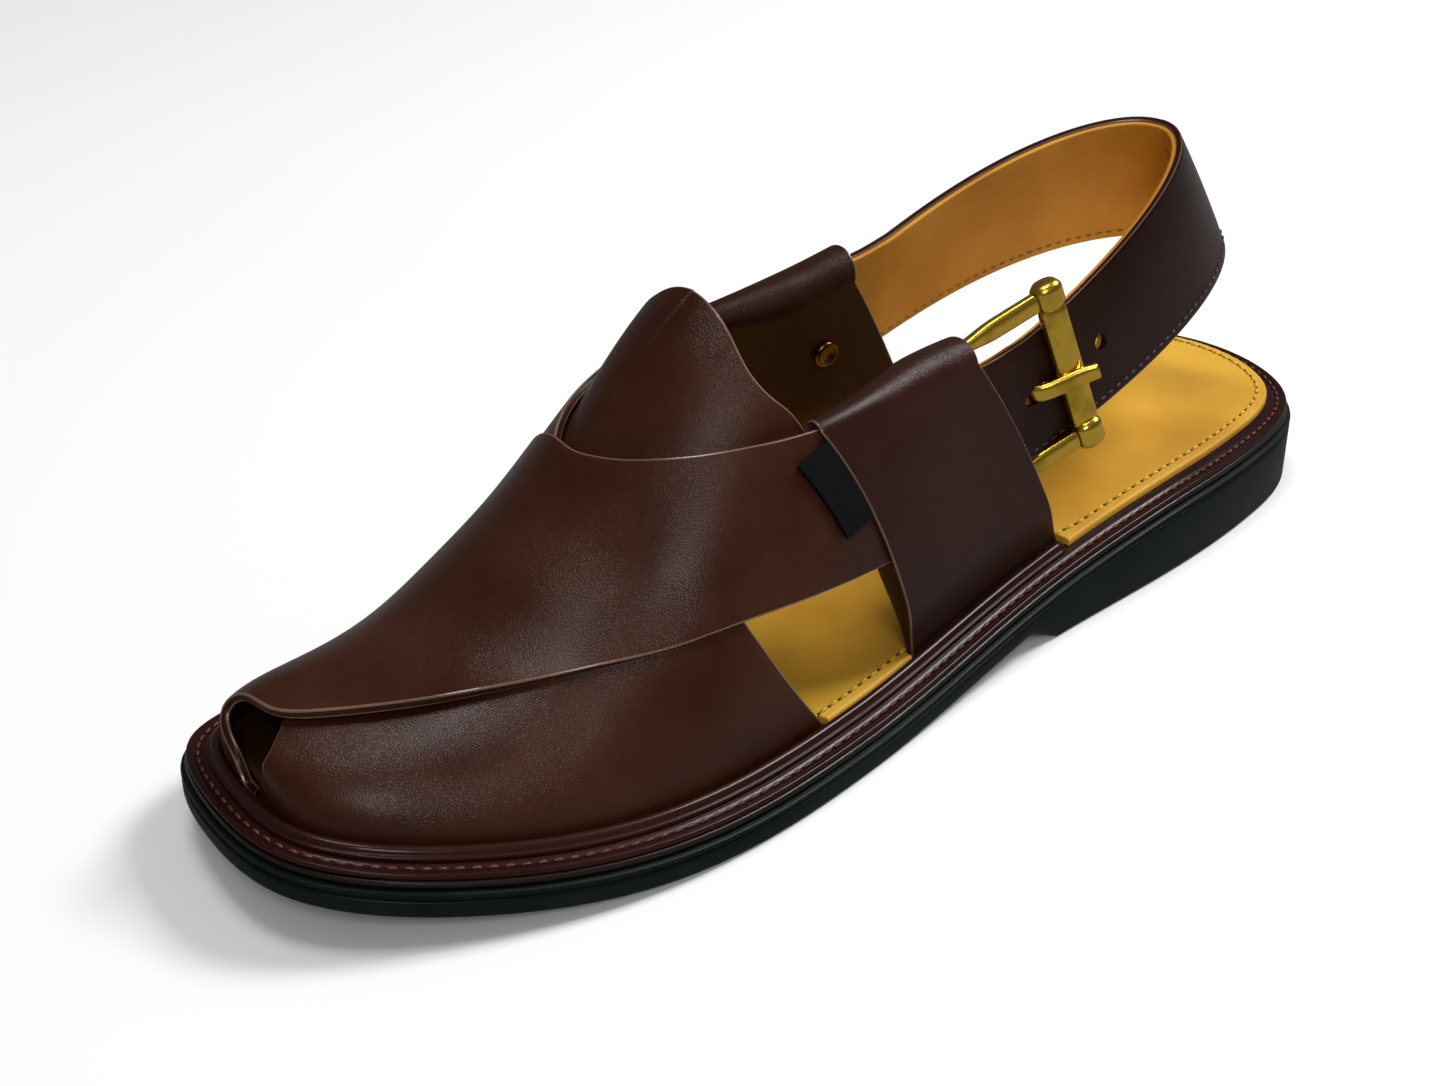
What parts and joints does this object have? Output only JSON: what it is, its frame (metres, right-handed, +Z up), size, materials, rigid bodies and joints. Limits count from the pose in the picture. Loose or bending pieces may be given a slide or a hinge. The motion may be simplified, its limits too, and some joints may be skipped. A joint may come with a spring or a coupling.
{
  "type": "peshawari chappal",
  "caption": "Left peshawari chappal: leather sandal with crossed straps, a tongue, folded side quarters and a buckled back strap on a rubber sole.",
  "frame": {"origin": "on the floor under the middle of the sole's length and width", "axes": "+Y towards the toe, +Z up, -X towards the outer side of the foot"},
  "size_m": [0.1004, 0.295, 0.0919],
  "materials": {
    "rubber": "satin black",
    "board": "dark brown edge",
    "leather": "polished dark brown, finely grained",
    "insole_leather": "matt tan",
    "strap_leather": "polished dark brown with a tan lining",
    "brass": "polished",
    "cloth": "woven black"
  },
  "bodies": {
    "root": {"outsole": "rubber", "midsole": "board", "welt": "leather", "rand": "leather", "insole": "insole_leather", "upper": "leather", "tongue": "leather", "back_strap": "strap_leather", "buckle_frame": "brass", "buckle_roller": "brass", "buckle_prong": "brass", "quarter_rivet": "brass", "side_tab": "cloth"}
  },
  "joints": []
}
